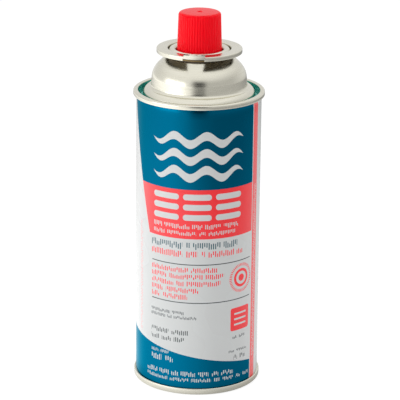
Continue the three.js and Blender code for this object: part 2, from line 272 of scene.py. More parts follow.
def makeCollar():
    sheet = collar["sheet"]
    hubInner = collar["hubInner"]
    hubOuter = hubInner + sheet
    top = collar["top"]
    under = top - sheet
    lipFoot = top - collar["lip"]
    outer = collar["radius"]
    foot = collar["foot"]
    recess = hubOuter - collar["seamDepth"]
    fillet = collar["hubFillet"]
    lipFillet = collar["lipFillet"]
    edge = collar["edgeRound"]
    profile = [(hubInner, foot + 0.1), (recess, foot + 0.1), (recess, foot + collar["lowerRecessTop"])]
    profile += [(hubOuter, foot + collar["lowerRecessTop"] + 0.1), (hubOuter, foot + collar["bandTop"])]
    profile += [(recess, foot + collar["bandTop"] + 0.05), (recess, foot + collar["seamTop"])]
    profile += [(hubOuter, foot + collar["seamTop"] + 0.05)]
    profile += arcPoints(hubOuter + fillet, under - fillet, fillet, 180, 90, 4)
    profile += arcPoints(outer - sheet - lipFillet, under - lipFillet, lipFillet, 90, 0, 3)
    profile += arcPoints(outer - sheet / 2, lipFoot + sheet / 2, sheet / 2, 180, 360, 6)
    profile += arcPoints(outer - edge, top - edge, edge, 0, 90, 6)
    profile += arcPoints(hubInner + sheet, top - sheet, sheet, 90, 180, 6)
    profile += [profile[0]]
    obj = growRings("collar_flange", profile, collar["segments"])
    finishPiece(obj, "collar_flange")
    cutter = notchCutter(hubOuter + collar["notchStop"], lipFoot, top)
    applyModifier(obj, "BOOLEAN", operation="DIFFERENCE", object=cutter, solver="EXACT")
    bpy.data.objects.remove(cutter, do_unlink=True)
    applyModifier(obj, "BEVEL", width=collar["cutEdge"] * mm, segments=1,
                  limit_method="ANGLE", angle_limit=math.radians(50))
    finishPiece(obj, "collar_flange")
    obj.data.materials.clear()
    for material in (bareTinplate, goldLacquerAndShade, paintedCreviceShade, paintedUndersideShade):
        obj.data.materials.append(material)
    for face in obj.data.polygons:
        x, y, z = face.center / mm
        radius = math.hypot(x, y)
        rise = z - foot
        # the flange's underside and the lip's inner faces get painted shade, dark brown
        isInside = hubOuter + 0.05 < radius < outer - sheet + 0.05 and z < under + 0.02
        # the band between the recesses is gold lacquer, darkened with painted shade
        isBand = radius < hubOuter + 0.05 and collar["lowerRecessTop"] < rise < collar["bandTop"] + 0.04
        # both recesses round the hub's foot get painted shade, very dark brown
        isShadedRecess = radius < hubOuter - 0.05 and rise < collar["seamTop"] + 0.04 and not isBand
        face.material_index = 3 if isInside else 2 if isShadedRecess else 1 if isBand else 0
    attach(obj, "canister")
    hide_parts("collar")
    return obj


def notchCutter(coreRadius, lipFoot, top):
    reach = collar["radius"] + 3
    startPiece("notch cutter")
    bpy.ops.mesh.primitive_cylinder_add(
        vertices=collar["segments"], radius=coreRadius * mm, depth=30 * mm, location=(0, 0, top * mm))
    core = bpy.context.object
    bpy.ops.object.select_all(action="DESELECT")
    bpy.ops.mesh.primitive_cube_add(size=1, location=(0, -reach / 2 * mm, (lipFoot + top) / 2 * mm))
    cutter = bpy.context.object
    cutter.scale = (collar["notchWidth"] * mm, reach * mm, (collar["lip"] + 4) * mm)
    bpy.ops.object.transform_apply(location=True, rotation=False, scale=True)
    cutter.rotation_euler = (0, 0, math.radians(collar["notchTurn"]))
    bpy.ops.object.transform_apply(location=False, rotation=True, scale=False)
    applyModifier(cutter, "BOOLEAN", operation="DIFFERENCE", object=core, solver="EXACT")
    bpy.data.objects.remove(core, do_unlink=True)
    return cutter


# Valve cup: rolled curl, wall, floor and the crimped pedestal that holds the valve

cup = {
    "inner": 12.3,
    "sheet": 0.4,
    "curlWidth": 3.7,
    "top": 180.45,
    "skirt": 1.0,
    "floor": 174.0,
    "round": 0.6,
    "pedestal": 5.6,
    "pedestalTop": 179.6,
    "stemHole": 2.3,
    "holeRound": 0.15,
    "segments": 128,
}


def makeCup():
    sheet = cup["sheet"]
    curl = cup["curlWidth"] / 2
    middle = cup["inner"] + curl
    centre = cup["top"] - curl
    outer = cup["inner"] + cup["curlWidth"]
    corner = cup["round"]
    floor = cup["floor"]
    pedestal = cup["pedestal"]
    high = cup["pedestalTop"]
    hole = cup["stemHole"]
    holeRound = cup["holeRound"]
    profile = [(outer - sheet, centre - cup["skirt"]), (outer, centre - cup["skirt"])]
    profile += arcPoints(middle, centre, curl, 0, 180, 24)
    profile += arcPoints(cup["inner"] - corner, floor + corner, corner, 0, -90, 6)
    profile += arcPoints(pedestal + corner, floor + corner, corner, 270, 180, 6)
    profile += arcPoints(pedestal - corner, high - corner, corner, 0, 90, 6)
    profile += arcPoints(hole + holeRound, high - holeRound, holeRound, 90, 180, 3)
    profile += [(hole, high - sheet), (pedestal - sheet, high - sheet)]
    profile += arcPoints(pedestal + corner, floor + corner, corner + sheet, 180, 270, 6)
    profile += arcPoints(cup["inner"] - corner, floor + corner, corner + sheet, -90, 0, 6)
    profile += arcPoints(middle, centre, curl - sheet, 180, 0, 16)
    profile += [profile[0]]
    obj = growRings("cup_shell", profile, cup["segments"])
    finishPiece(obj, "cup_shell")
    obj.data.materials.append(bareTinplate)
    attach(obj, "canister")
    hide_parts("valve_cup")
    return obj


# Valve stem: the hollow tip that shows once the cap is off

stem = {
    "radius": 2.0,
    "bore": 1.1,
    "top": 189.0,
    "shoulderRadius": 3.0,
    "shoulderTop": 177.7,
    "shoulderFoot": 175.3,
    "pegRadius": 1.5,
    "pegFoot": 172.6,
    "boreFoot": 176.5,
    "edge": 0.15,
    "pegChamfer": 0.2,
    "tipRound": 0.35,
    "segments": 48,
}


def makeStem():
    peg = stem["pegRadius"]
    shoulder = stem["shoulderRadius"]
    foot = stem["shoulderFoot"]
    high = stem["shoulderTop"]
    edge = stem["edge"]
    tip = stem["tipRound"]
    profile = [(peg - stem["pegChamfer"], stem["pegFoot"]), (peg, stem["pegFoot"] + stem["pegChamfer"])]
    profile += [(peg, foot), (shoulder - edge, foot), (shoulder, foot + edge)]
    profile += [(shoulder, high - edge), (shoulder - edge, high), (stem["radius"], high)]
    profile += arcPoints(stem["radius"] - tip, stem["top"] - tip, tip, 0, 90, 5)
    profile += arcPoints(stem["bore"] + edge, stem["top"] - edge, edge, 90, 180, 3)
    profile += [(stem["bore"], stem["boreFoot"])]
    obj = growRings("stem_tip", profile, stem["segments"], startFilled=True, endFilled=True)
    finishPiece(obj, "stem_tip")
    obj.data.materials.append(palePolymer)
    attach(obj, "stem")
    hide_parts("valve_stem")
    return obj


# Valve spring: the coil that the stem presses down on, built at its rest length

spring = {
    "radius": 2.35,
    "wire": 0.6,
    "seat": 164.5,
    "top": 175.2,
    "endGap": 0.1,
    "travel": 2.0,
    "turns": 6,
    "stepsPerTurn": 32,
    "wireSides": 12,
}


def makeSpring():
    # a ring of the wire's thickness is swept round and up
    startPiece("spring_coil")
    foot = spring["seat"] + spring["endGap"] + spring["wire"] / 2
    rise = spring["top"] - spring["wire"] / 2 - foot
    bpy.ops.mesh.primitive_circle_add(
        vertices=spring["wireSides"],
        radius=spring["wire"] / 2 * mm,
        location=(spring["radius"] * mm, 0, foot * mm),
        rotation=(math.radians(90), 0, 0),
    )
    obj = bpy.context.object
    bpy.ops.object.transform_apply(location=True, rotation=True, scale=True)
    applyModifier(obj, "SCREW", angle=2 * math.pi, iterations=spring["turns"], steps=spring["stepsPerTurn"],
                  screw_offset=rise / spring["turns"] * mm)
    bpy.ops.object.mode_set(mode="EDIT")
    bpy.ops.mesh.select_all(action="SELECT")
    bpy.ops.mesh.fill_holes(sides=0)
    bpy.ops.object.mode_set(mode="OBJECT")
    finishPiece(obj, "spring_coil", 50)
    obj.data.materials.append(springSteel)
    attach(obj, "canister")
    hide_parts("valve_spring")
    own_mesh(obj)
    return obj


# Cap: fluted push-on cap with a rounded top edge, a gate mark and an inner gripping tube

cap = {
    "top": 199.25,
    "foot": 174.0,
    "waist": 180.45,
    "topRadius": 11.03,
    "waistRadius": 11.6,
    "wall": 1.1,
    "roof": 1.5,
    "edgeRound": 1.6,
    "fluteCount": 48,
    "fluteDepth": 0.3,
    "ribFullness": 0.7,
    "stepsPerFlute": 12,
    "footChamfer": 0.5,
    "gateRadius": 1.3,
    "gateDepth": 0.4,
    "gateRound": 0.2,
    "gateTaper": 0.3,
    "flatRadius": 3.7,
    "gripInner": 5.9,
    "gripOuter": 6.7,
    "gripFoot": 175.2,
}


def capRadius(height):
    fluteTop = cap["top"] - cap["edgeRound"]
    taper = (cap["waistRadius"] - cap["topRadius"]) / (fluteTop - cap["waist"])
    return cap["topRadius"] + taper * (fluteTop - height)


def makeCap():
    foot = cap["foot"]
    top = cap["top"]
    edge = cap["edgeRound"]
    under = top - cap["roof"]
    footRadius = capRadius(foot)
    chamfer = cap["footChamfer"]
    wall = cap["wall"]
    gate = cap["gateRadius"]
    gateRound = cap["gateRound"]
    profile = [(cap["gripInner"], under), (cap["gripInner"], cap["gripFoot"])]
    profile += [(cap["gripOuter"], cap["gripFoot"]), (cap["gripOuter"], under)]
    profile += [(cap["topRadius"] - wall, under), (footRadius - wall, foot)]
    profile += [(footRadius - chamfer, foot), (footRadius, foot + chamfer)]
    for i in range(1, 10):
        height = foot + chamfer + (top - edge - foot - chamfer) * i / 9
        profile.append((capRadius(height), height))
    profile += arcPoints(cap["topRadius"] - edge, top - edge, edge, 0, 90, 10)[1:]
    profile += [(cap["flatRadius"], top), (gate + cap["gateTaper"], top)]
    profile += arcPoints(gate + gateRound / 2, top - gateRound, gateRound, 90, 180, 3)
    profile += [(gate - cap["gateTaper"], top - cap["gateDepth"])]
    segments = cap["fluteCount"] * cap["stepsPerFlute"]
    obj = growRings("push_cap", profile, segments, startFilled=True, endFilled=True)
    pressFlutes(obj)
    finishPiece(obj, "push_cap", 40)
    obj.data.materials.append(redPolymer)
    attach(obj, "push_cap")
    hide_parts("cap")
    return obj


def pressFlutes(obj):
    # the rounded ribs stand between narrow valleys, which run out on the top edge's rounding
    fadeFrom = cap["top"] - cap["edgeRound"]
    origin = obj.location
    for vertex in obj.data.vertices:
        place = vertex.co + origin
        radius = math.hypot(place.x, place.y) / mm
        height = place.z / mm
        isInside = radius < cap["topRadius"] - cap["wall"] + 0.2 or height < cap["foot"] + 0.01
        if isInside or (radius < capRadius(height) - 0.05 and height < fadeFrom):
            continue
        fade = min(max((cap["top"] - height) / cap["edgeRound"] * 3, 0), 1)
        turn = math.atan2(place.y, place.x) * cap["fluteCount"] / 2
        rib = abs(math.cos(turn)) ** cap["ribFullness"]
        share = 1 - cap["fluteDepth"] * (1 - rib) * fade / radius
        vertex.co.x *= share
        vertex.co.y *= share


# Materials

def colour(code):
    # sRGB hex to linear
    channels = [int(code[i:i + 2], 16) / 255 for i in (1, 3, 5)]
    return [c / 12.92 if c <= 0.04045 else ((c + 0.055) / 1.055) ** 2.4 for c in channels] + [1.0]


def addNode(tree, kind, inputs=None, **settings):
    # adds a node, gives it its settings, and sets or links its inputs
    # an input may be a formula, such as ("MULTIPLY", a, b), which is worked out by a math node of its own
    node = tree.nodes.new(kind)
    for key, value in settings.items():
        setattr(node, key, value)
    for key, value in (inputs or {}).items():
        if isinstance(value, tuple) and isinstance(value[0], str):
            operands = dict(enumerate(value[1:]))
            value = addNode(tree, "ShaderNodeMath", operands, operation=value[0]).outputs[0]
        if isinstance(value, bpy.types.NodeSocket):
            tree.links.new(value, node.inputs[key])
        else:
            node.inputs[key].default_value = value
    return node


def newMaterial(name):
    material = bpy.data.materials.new(name)
    material.use_nodes = True
    material.node_tree.nodes.clear()
    return material, material.node_tree


def fineBump(tree, vector, grain, strength, depth):
    # grain is the real size of the texture in mm
    noise = addNode(tree, "ShaderNodeTexNoise", {
        "Vector": vector, "Scale": 1 / (grain * mm), "Detail": 3.0})
    bump = addNode(tree, "ShaderNodeBump", {
        "Height": noise.outputs["Fac"], "Strength": strength, "Distance": depth * mm})
    return noise, bump


def makeBareTinplate():
    # tinplate, cold drawn: bright and slightly warm, with a soft satin that runs round the part
    material, tree = newMaterial("bare tinplate")
    place = addNode(tree, "ShaderNodeTexCoord").outputs["Object"]
    stretch = addNode(tree, "ShaderNodeMapping", {"Vector": place, "Scale": (1, 1, 14)})
    streaks = addNode(tree, "ShaderNodeTexNoise", {
        "Vector": stretch.outputs["Vector"], "Scale": 1 / (9 * mm), "Detail": 4.0})
    rough = addNode(tree, "ShaderNodeMapRange", {
        "Value": streaks.outputs["Fac"], "From Min": 0.3, "From Max": 0.7, "To Min": 0.2, "To Max": 0.3})
    tone = addNode(tree, "ShaderNodeMix", {
        "Factor": streaks.outputs["Fac"], 6: colour("#dfdccf"), 7: colour("#d5d2c2")}, data_type="RGBA")
    bump = fineBump(tree, place, 0.6, 0.12, 0.01)[1]
    shader = addNode(tree, "ShaderNodeBsdfPrincipled", {
        "Base Color": tone.outputs[2], "Roughness": rough.outputs["Result"],
        "Normal": bump.outputs["Normal"], "Metallic": 1.0})
    addNode(tree, "ShaderNodeOutputMaterial", {"Surface": shader.outputs["BSDF"]})
    return material


def makeLacquer(name, code, darker, roughness):
    # stoved lacquer on tinplate: a clear tint with the metal's shine behind it; also used for the collar's
    # painted underside shade
    material, tree = newMaterial(name)
    place = addNode(tree, "ShaderNodeTexCoord").outputs["Object"]
    clouds = addNode(tree, "ShaderNodeTexNoise", {"Vector": place, "Scale": 1 / (6 * mm), "Detail": 2.0})
    tone = addNode(tree, "ShaderNodeMix", {
        "Factor": clouds.outputs["Fac"], 6: colour(code), 7: colour(darker)}, data_type="RGBA")
    shader = addNode(tree, "ShaderNodeBsdfPrincipled", {
        "Base Color": tone.outputs[2], "Metallic": 0.55, "Roughness": roughness, "Coat Weight": 0.3})
    addNode(tree, "ShaderNodeOutputMaterial", {"Surface": shader.outputs["BSDF"]})
    return material


def makeRedPolymer():
    # injection-moulded polypropylene: dense red, a soft gloss and a faint moulded skin
    material, tree = newMaterial("red polypropylene")
    place = addNode(tree, "ShaderNodeTexCoord").outputs["Object"]
    noise, bump = fineBump(tree, place, 0.5, 0.15, 0.01)
    clouds = addNode(tree, "ShaderNodeTexNoise", {"Vector": place, "Scale": 1 / (5 * mm), "Detail": 2.0})
    tone = addNode(tree, "ShaderNodeMix", {
        "Factor": clouds.outputs["Fac"], 6: colour("#fb0016"), 7: colour("#ff041c")}, data_type="RGBA")
    rough = addNode(tree, "ShaderNodeMapRange", {
        "Value": noise.outputs["Fac"], "To Min": 0.2, "To Max": 0.3})
    shader = addNode(tree, "ShaderNodeBsdfPrincipled", {
        "Base Color": tone.outputs[2], "Roughness": rough.outputs["Result"], "Specular IOR Level": 0.12,
        "Normal": bump.outputs["Normal"]})
    addNode(tree, "ShaderNodeOutputMaterial", {"Surface": shader.outputs["BSDF"]})
    return material


def makePlain(name, code, darker, roughness, grain, metallic=0.0):
    material, tree = newMaterial(name)
    place = addNode(tree, "ShaderNodeTexCoord").outputs["Object"]
    noise, bump = fineBump(tree, place, grain, 0.2, 0.02)
    tone = addNode(tree, "ShaderNodeMix", {
        "Factor": noise.outputs["Fac"], 6: colour(code), 7: colour(darker)}, data_type="RGBA")
    rough = addNode(tree, "ShaderNodeMapRange", {
        "Value": noise.outputs["Fac"], "To Min": roughness - 0.05, "To Max": roughness + 0.05})
    shader = addNode(tree, "ShaderNodeBsdfPrincipled", {
        "Base Color": tone.outputs[2], "Roughness": rough.outputs["Result"],
        "Metallic": metallic, "Normal": bump.outputs["Normal"]})
    addNode(tree, "ShaderNodeOutputMaterial", {"Surface": shader.outputs["BSDF"]})
    return material


# Printed label: fields of ink laid out in mm, across from the middle of the front and up from the foot

# a block of print is given by its middle across, half its width, its middle height and half its height
label = {
    "white": "#cdcecd",
    "blue": "#005d7d",
    "red": "#f5141f",
    "stripe": "#f03a3c",
    "teal": "#1d4e5c",
    "grey": "#34383a",
    "pink": "#e69c9e",
    "blueFoot": 113.0,
    "redFoot": 86.4,
    "slantAcross": -35.04,
    "slant": -0.2507,
    "fieldRight": 33.9,
    "stripeMiddle": 37.0,
    "stripeHalf": 2.55,
    "swooshHeight": 20.6,
    "swooshFall": 0.1895,
    "swooshLeft": -86.0,
    "strokePitch": 0.55,
    "strokeShare": 0.5,
    "strokeDrift": 0.45,
    "wordGap": 0.8,
    "waveCentres": (139.5, 130.5, 121.5),
    "waveLength": 17.0,
    "waveSwing": 2.2,
    "waveHalf": 2.3,
    "waveReach": 25.5,
    "barField": (-0.3, 25.7, 103.5, 8.2),
    "barStep": (17.2, 5.5),
    "barSize": (7.5, 1.6, 1.55),
    "dotMiddle": (25.6, 62.6),
    "dotRadius": 2.0,
    "dotRings": (4.3, 7.2),
    "ringHalf": 0.75,
    "dotTeeth": 48,
    "tileMiddle": (25.3, 40.0),
    "tileSize": (6.6, 6.4, 1.2),
    "tileBar": (4.2, 0.5),
    "tileStep": 3.0,
    "rules": ((3.1, 29.4, 72.3, 0.25), (3.1, 29.4, 51.2, 0.25)),
    "stripePrint": (37.0, 1.5, 63.0, 48.0),
    "stripeFaint": 0.6,
    "sidePrint": (-36.0, 1.5, 60.5, 30.5),
    "uprightTall": 2.6,
    "backPrint": (62.0, 17.0, 88.0, 42.0),
    "backTall": 1.6,
    "backStep": 3.6,
    "finePitch": 0.9,
}

# lines of fine print: left end, height, letter height, letter width and each word's count of letters
printLines = {
    "white": (
        (-25.0, 93.0, 2.6, 1.75, (3, 8, 3, 5, 5)),
        (-25.0, 89.3, 2.3, 1.75, (4, 9, 2, 9)),
        (-26.8, 22.4, 1.8, 1.3, (4, 4)),
        (-26.8, 18.6, 3.2, 2.4, (3, 2)),
        (-30.0, 11.2, 2.7, 1.9, (4, 3, 2, 4, 3, 2, 4)),
        (-30.0, 7.8, 2.0, 1.75, (8, 6, 6, 2, 4, 2, 3)),
    ),
    "teal": (
        (-26.8, 82.6, 3.8, 2.1, (9, 1, 7, 4)),
    ),
    "red": (
        (-26.8, 78.0, 3.4, 2.1, (9, 3, 1, 7, 2)),
        (-26.8, 69.2, 2.8, 2.0, (11, 7)),
        (-26.8, 65.5, 2.8, 2.0, (5, 9, 5)),
        (-26.8, 61.7, 2.8, 2.0, (7, 2, 9)),
        (-26.8, 57.9, 2.8, 2.0, (4, 9)),
        (-26.8, 54.2, 2.8, 2.0, (3, 7)),
    ),
    "grey": (
        (-26.8, 45.2, 1.9, 1.35, (9, 5)),
        (-26.8, 42.7, 1.8, 1.35, (7, 2, 9)),
        (-26.8, 34.2, 2.7, 1.9, (6, 5)),
        (-26.8, 30.2, 2.7, 1.9, (3, 3, 3)),
        (19.8, 30.0, 1.8, 1.6, (2, 3)),
        (17.6, 22.3, 1.5, 1.3, (3, 6)),
        (21.0, 18.6, 2.8, 2.2, (1, 2)),
    ),
}


def makePrintedLacquer():
    # offset-printed tinplate under a clear varnish: flat glossy inks, the blue with the metal behind it
    material, tree = newMaterial("printed and varnished tinplate")
    place = addNode(tree, "ShaderNodeTexCoord").outputs["Object"]
    parts = addNode(tree, "ShaderNodeSeparateXYZ", {"Vector": place}).outputs

    angle = ("ARCTAN2", parts["X"], ("MULTIPLY", parts["Y"], -1.0))
    across = addNode(tree, "ShaderNodeMath", {
        0: angle, 1: can["bodyRadius"]}, operation="MULTIPLY").outputs[0]
    up = addNode(tree, "ShaderNodeMath", {0: parts["Z"], 1: mm}, operation="DIVIDE").outputs[0]

    # masks are formulas, which become nodes where they are used
    def both(a, b):
        return ("MULTIPLY", a, b)

    def either(a, b):
        return ("MAXIMUM", a, b)

    def above(value, level):
        return ("GREATER_THAN", value, level)

    def block(middle, half, centre, tall):
        return both(("COMPARE", across, middle, half), ("COMPARE", up, centre, tall))

    # ink fields
    overFoot = ("SUBTRACT", up, label["blueFoot"])
    slantLine = ("MULTIPLY_ADD", overFoot, label["slant"], label["slantAcross"])
    inside = both(above(across, slantLine), ("LESS_THAN", across, label["fieldRight"]))
    blueTop = both(inside, above(up, label["blueFoot"]))
    redField = both(both(inside, above(up, label["redFoot"])), ("LESS_THAN", up, label["blueFoot"]))
    swooshLine = ("MULTIPLY_ADD", across, -label["swooshFall"], label["swooshHeight"])
    swooshSpan = both(above(across, label["swooshLeft"]), ("LESS_THAN", across, label["fieldRight"]))
    blueFoot = both(("LESS_THAN", up, swooshLine), swooshSpan)
    blue = either(blueTop, blueFoot)
    stripe = ("COMPARE", across, label["stripeMiddle"], label["stripeHalf"])

    # fine print is greeked: upright strokes, each long or short by chance, so that it spells nothing
    def chance(column, row):
        cell = addNode(tree, "ShaderNodeCombineXYZ", {"X": ("FLOOR", column), "Y": row}).outputs[0]
        return addNode(tree, "ShaderNodeTexWhiteNoise", {"Vector": cell}, noise_dimensions="2D").outputs[0]

    def strokes(along, centre, tall, over, pitch):
        half = tall / 2
        drift = label["strokeDrift"] * tall
        column = ("DIVIDE", along, pitch)
        draw = chance(column, centre)
        middle = ("MULTIPLY_ADD", draw, drift, centre - drift / 2)
        short = ("ABSOLUTE", ("MULTIPLY_ADD", draw, half, -half / 2))
        high = ("COMPARE", over, middle, ("SUBTRACT", half, short))
        return both(high, ("LESS_THAN", ("FRACT", column), label["strokeShare"]))

    def words(left, centre, tall, letter, lengths):
        # one line of words, with most of a letter's width between them
        line = None
        start = left
        for count in lengths:
            half = count * letter / 2
            word = ("COMPARE", across, start + half, half)
            line = word if line is None else either(line, word)
            start += (count + label["wordGap"]) * letter
        return both(line, strokes(across, centre, tall, up, letter * label["strokePitch"]))

    def roundBlock(aside, over, half, tall, corner):
        # a rounded block, from distances measured off its own middle
        wide = ("MAXIMUM", ("SUBTRACT", ("ABSOLUTE", aside), half - corner), 0.0)
        high = ("MAXIMUM", ("SUBTRACT", ("ABSOLUTE", over), tall - corner), 0.0)
        return ("LESS_THAN", ("ADD", both(wide, wide), both(high, high)), corner * corner)

    def gather(masks):
        total = masks[0]
        for mask in masks[1:]:
            total = either(total, mask)
        return total

    def printed(ink):
        return [words(*line) for line in printLines[ink]]

    # three waves with tapered ends stand in the upper field, three stacks of bars in the red one
    half = label["waveHalf"]
    reach = label["waveReach"]
    wave = ("SINE", ("MULTIPLY", across, 2 * math.pi / label["waveLength"]))
    waveHeight = ("SUBTRACT", up, ("MULTIPLY", wave, label["waveSwing"]))
    waveEnd = ("POWER", ("ABSOLUTE", ("DIVIDE", across, reach)), 4.0)
    waveHalf = ("MULTIPLY_ADD", waveEnd, -half, half)
    waves = gather([("COMPARE", waveHeight, centre, waveHalf) for centre in label["waveCentres"]])
    waves = both(waves, ("COMPARE", across, 0.0, reach))
    barMiddle, barCentre = label["barField"][0], label["barField"][2]
    stepAcross, stepUp = label["barStep"][0] / 2, label["barStep"][1] / 2
    barAside = ("WRAP", ("SUBTRACT", across, barMiddle), stepAcross, -stepAcross)
    barOver = ("WRAP", ("SUBTRACT", up, barCentre), stepUp, -stepUp)
    bars = both(block(*label["barField"]), roundBlock(barAside, barOver, *label["barSize"]))
    whiteInk = addNode(tree, "ShaderNodeMath", {
        0: either(waves, bars), 1: gather(printed("white"))}, operation="MAXIMUM").outputs[0]
    tealInk = gather(printed("teal"))
    greyInk = gather([block(*rule) for rule in label["rules"]] + printed("grey"))

    # a plain ringed dot and a plain tile of bars
    dotAcross = ("SUBTRACT", across, label["dotMiddle"][0])
    dotUp = ("SUBTRACT", up, label["dotMiddle"][1])
    dotTurn = ("MULTIPLY", ("ARCTAN2", dotAcross, dotUp), label["dotTeeth"] / (2 * math.pi))
    dotReach = ("SQRT", ("ADD", both(dotAcross, dotAcross), both(dotUp, dotUp)))
    inner, outer = [("COMPARE", dotReach, ring, label["ringHalf"]) for ring in label["dotRings"]]
    teeth = ("LESS_THAN", ("FRACT", dotTurn), 0.5)
    dot = gather([("LESS_THAN", dotReach, label["dotRadius"]), inner, both(outer, teeth)])
    tileMiddle, tileCentre = label["tileMiddle"]
    tileAside = ("SUBTRACT", across, tileMiddle)
    tileOver = ("SUBTRACT", up, tileCentre)
    barHalf, barTall = label["tileBar"]
    tileBars = gather([
        block(tileMiddle, barHalf, tileCentre + row * label["tileStep"], barTall) for row in (1, 0, -1)])
    tile = both(roundBlock(tileAside, tileOver, *label["tileSize"]), ("SUBTRACT", 1.0, tileBars))
    redInk = gather(printed("red") + [dot, tile])

    # upright fine print in the stripe and, faint, at the left, and level lines of it on the back
    def upright(area):
        return both(block(*area), strokes(up, area[0], label["uprightTall"], across, label["finePitch"]))

    stripePrint = upright(label["stripePrint"])
    sidePrint = upright(label["sidePrint"])
    backHalf = label["backStep"] / 2
    lines = ("WRAP", ("SUBTRACT", up, label["backPrint"][2]), backHalf, -backHalf)
    backStrokes = strokes(across, 0.0, label["backTall"], lines, label["finePitch"])
    backPrint = both(block(*label["backPrint"]), backStrokes)

    # inks go on the white ground in this order
    layers = (
        ("pink", sidePrint),
        ("blue", blue),
        ("red", redField),
        ("stripe", stripe),
        ("white", either(whiteInk, both(stripePrint, label["stripeFaint"]))),
        ("teal", tealInk),
        ("red", redInk),
        ("grey", either(greyInk, backPrint)),
    )
    ink = colour(label["white"])
    for inkName, mask in layers:
        ink = addNode(tree, "ShaderNodeMix", {
            "Factor": mask, 6: ink, 7: colour(label[inkName])}, data_type="RGBA").outputs[2]
    metal = addNode(tree, "ShaderNodeMath", {
        0: blue, 1: ("SUBTRACT", 1.0, whiteInk)}, operation="MULTIPLY").outputs[0]
    clouds = addNode(tree, "ShaderNodeTexNoise", {"Vector": place, "Scale": 1 / (25 * mm), "Detail": 1.0})
    rough = addNode(tree, "ShaderNodeMapRange", {
        "Value": clouds.outputs["Fac"], "To Min": 0.25, "To Max": 0.29})
    shader = addNode(tree, "ShaderNodeBsdfPrincipled", {
        "Base Color": ink, "Metallic": metal, "Roughness": rough.outputs["Result"],
        "Specular IOR Level": 0.3, "Specular Tint": (0.5, 0.85, 0.95, 1.0),
        "Coat Weight": ("SUBTRACT", 1.0, metal), "Coat Roughness": 0.12})
    addNode(tree, "ShaderNodeOutputMaterial", {"Surface": shader.outputs["BSDF"]})
    return material


bareTinplate = makeBareTinplate()
tealLacquer = makeLacquer("teal stoved lacquer", "#4cc8b8", "#2ca8a0", 0.26)
# gold lacquer on the band at the hub's foot, its colour darkened with painted shade
goldLacquerAndShade = makeLacquer("gold stoved lacquer and painted shade", "#8a7444", "#735f39", 0.35)
# painted shade: the flange's underside and the lip's inner faces are painted dark brown
paintedUndersideShade = makeLacquer("dark brown painted underside shade", "#665b49", "#524937", 0.35)
# painted shade: the two recesses round the hub's foot are painted very dark brown
paintedCreviceShade = makePlain("dark brown painted crevice shade", "#3a2f20", "#4a3c28", 0.6, 0.3)
redPolymer = makeRedPolymer()
palePolymer = makePlain("natural acetal", "#ece9de", "#e2ded2", 0.42, 0.4)
blackRubber = makePlain("black nitrile rubber", "#1c1c1e", "#242427", 0.75, 0.3)
springSteel = makePlain("drawn spring steel", "#b8bbbe", "#a4a8ac", 0.3, 0.5, 1.0)
printedLacquer = makePrintedLacquer()
print("materials made")

makeCan()
makeCollar()
makeCup()
makeStem()
makeSpring()
makeCap()


# CAD nodes that stay, each with its own finish

keptFinishes = {
    "cup_gasket": blackRubber,
    "stem_gasket": blackRubber,
    "valve_housing": palePolymer,
    "dip_tube": palePolymer,
}
for nodeName, finish in keptFinishes.items():
    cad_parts[nodeName].data.materials.clear()
    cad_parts[nodeName].data.materials.append(finish)
print("kept nodes finished")


# Camera at the photograph's viewpoint

view = {
    "distance": 1.1033,
    "height": 0.4508,
    "pitch": 17.761,
    "turn": -0.055,
    "roll": 0.586,
    "focalPixels": 2190.4,
    "imagePixels": 400,
    "sensorWidth": 36,
    "clip": (0.05, 20),
}


def makeCamera():
    data = bpy.data.cameras.new("camera")
    data.sensor_width = view["sensorWidth"]
    data.lens = view["sensorWidth"] * view["focalPixels"] / view["imagePixels"]
    data.clip_start, data.clip_end = view["clip"]
    obj = bpy.data.objects.new("camera", data)
    bpy.context.scene.collection.objects.link(obj)
    turn = Matrix.Rotation(math.radians(view["turn"]), 4, "Z")
    tilt = Matrix.Rotation(math.radians(90 - view["pitch"]), 4, "X")
    roll = Matrix.Rotation(math.radians(view["roll"]), 4, "Z")
    obj.matrix_world = Matrix.Translation((0, -view["distance"], view["height"])) @ turn @ tilt @ roll
    bpy.context.scene.camera = obj


# Studio: white surroundings, a pale floor and soft boxes

# a fade runs over a part of the direction looked in, or over a distance on the floor in m
studio = {
    "dayLevel": 0.7,
    "backLevel": 0.85,
    "topLevel": 1.12,
    "darkAside": {"From Min": 0.16, "From Max": 0.36, "To Min": 1.0, "To Max": 0.0},
    "darkAhead": {"From Min": -0.5, "From Max": -0.2, "To Min": 1.0, "To Max": 0.0},
    "darkUp": {"From Min": 0.45, "From Max": 0.65, "To Min": 1.0, "To Max": 0.0},
    "darkEnd": {"To Min": 1.0, "To Max": 0.02},
    "rightFade": {"From Min": -0.4, "From Max": 0.5, "To Min": 1.0, "To Max": 0.62},
    "backFade": {"From Min": 0.0, "From Max": 0.6},
    "topFade": {"From Min": 0.35, "From Max": 0.8},
    "aim": 0.1,
}

paper = {
    "size": 6.0,
    "drop": 0.0002,
    "tone": "#eeeeee",
    "glow": 0.8,
    "dim": (0.3, 0.3, 0.3, 1),
    # the rest sets the paper's painted light as shiny surfaces see it: its painted pool of light, its fades
    # and its painted contact shadow
    "paintedLightTurn": -75,
    "turnFade": {"From Min": -0.2, "From Max": 0.9, "To Min": 0.5, "To Max": 1.45},
    "nearFade": {"From Min": 0.2, "From Max": 0.6, "To Min": 0.0, "To Max": 0.42},
    "farLift": {"From Min": 0.7, "From Max": 1.2, "To Min": 0.0, "To Max": 0.45},
    "darkFade": {"From Min": 0.55, "From Max": 0.9},
    "paintedContactShadow": {"From Min": 0.033, "From Max": 0.05, "To Min": 0.45, "To Max": 1.0},
}

# each box: name, turn from the front in degrees, distance, height, width and tallness of face, radiance
softBoxes = (
    ("leftBox", -60, 0.6, 0.24, 0.55, 0.24, 1.8),
    ("leftFill", -72, 0.4, 0.12, 0.4, 0.3, 0.95),
    ("topBox", -20, 0.3, 0.95, 0.5, 0.5, 1.6),
    ("rightBox", 112, 0.5, 0.2, 0.4, 0.5, 1.15),
)


